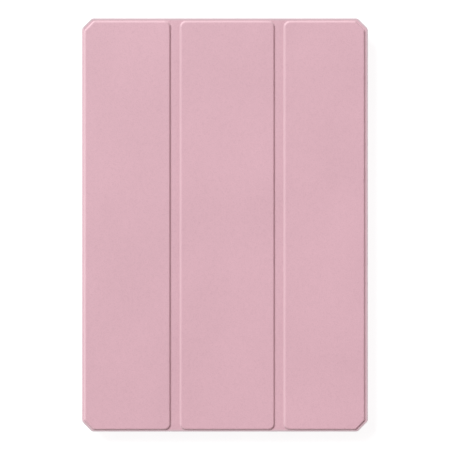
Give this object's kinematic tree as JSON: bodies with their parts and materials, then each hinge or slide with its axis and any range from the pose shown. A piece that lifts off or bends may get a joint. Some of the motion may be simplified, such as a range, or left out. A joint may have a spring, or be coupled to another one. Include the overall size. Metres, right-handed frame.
{
  "type": "tablet case",
  "caption": "Slim leather-look folio case for a tablet: a moulded tray behind a front cover of three raised panels that fold along two soft strips, with cut-off corners.",
  "frame": {"origin": "middle of the case's footprint, on the surface that its back rests on", "axes": "+Z out of the closed front cover, +Y along the case to its top edge, +X across it to the free edge; the spine is on the -X side"},
  "size_m": [0.1788, 0.2582, 0.0135],
  "materials": {
    "pink_leather": "soft pink synthetic leather, fine grain, low sheen",
    "microfibre_lining": "short-pile microfibre",
    "tray_plastic": "matte moulded polycarbonate",
    "stiffener_board": "pressed fibreboard, not visible",
    "adhesive": "double-sided sheet, not visible",
    "steel_strip": "cold-rolled strip, not visible",
    "magnet_plating": "nickel plating, not visible"
  },
  "bodies": {
    "back": {"tray_shell": "tray_plastic", "tray_adhesive_sheet": "adhesive", "back_skin": "pink_leather", "back_lining": "microfibre_lining"},
    "spine": {"spine_skin": "pink_leather", "spine_board": "stiffener_board", "spine_lining": "microfibre_lining"},
    "panel_1": {"panel_1_skin": "pink_leather", "panel_1_board": "stiffener_board", "panel_1_lining": "microfibre_lining", "panel_1_steel_strip": "steel_strip"},
    "fold_1": {"fold_1_skin": "pink_leather", "fold_1_lining": "microfibre_lining"},
    "panel_2": {"panel_2_skin": "pink_leather", "panel_2_board": "stiffener_board", "panel_2_lining": "microfibre_lining"},
    "fold_2": {"fold_2_skin": "pink_leather", "fold_2_lining": "microfibre_lining"},
    "panel_3": {"panel_3_skin": "pink_leather", "panel_3_board": "stiffener_board", "panel_3_lining": "microfibre_lining", "closure_magnet_1": "magnet_plating", "closure_magnet_2": "magnet_plating", "closure_magnet_3": "magnet_plating", "closure_magnet_4": "magnet_plating", "sleep_wake_magnet": "magnet_plating"}
  },
  "joints": [
    {"name": "spine_back_crease", "type": "hinge", "parent": "back", "child": "spine", "pos_m": [-0.0888, 0, 0.0006], "axis": [0, -1, 0], "range_deg": [0, 180]},
    {"name": "spine_front_crease", "type": "hinge", "parent": "spine", "child": "panel_1", "pos_m": [-0.0888, 0, 0.0117], "axis": [0, -1, 0], "range_deg": [0, 180]},
    {"name": "fold_1_left_crease", "type": "hinge", "parent": "panel_1", "child": "fold_1", "pos_m": [-0.0336, 0, 0.0123], "axis": [0, 1, 0], "range_deg": [-90, 0]},
    {"name": "fold_1_right_crease", "type": "hinge", "parent": "fold_1", "child": "panel_2", "pos_m": [-0.0282, 0, 0.0123], "axis": [0, 1, 0], "range_deg": [-90, 0]},
    {"name": "fold_2_left_crease", "type": "hinge", "parent": "panel_2", "child": "fold_2", "pos_m": [0.0327, 0, 0.0123], "axis": [0, 1, 0], "range_deg": [-90, 0]},
    {"name": "fold_2_right_crease", "type": "hinge", "parent": "fold_2", "child": "panel_3", "pos_m": [0.0354, 0, 0.0123], "axis": [0, 1, 0], "range_deg": [-90, 0]}
  ],
  "couplings": [
    {"joint": "spine_front_crease", "follows": "spine_back_crease", "ratio": 1}
  ]
}
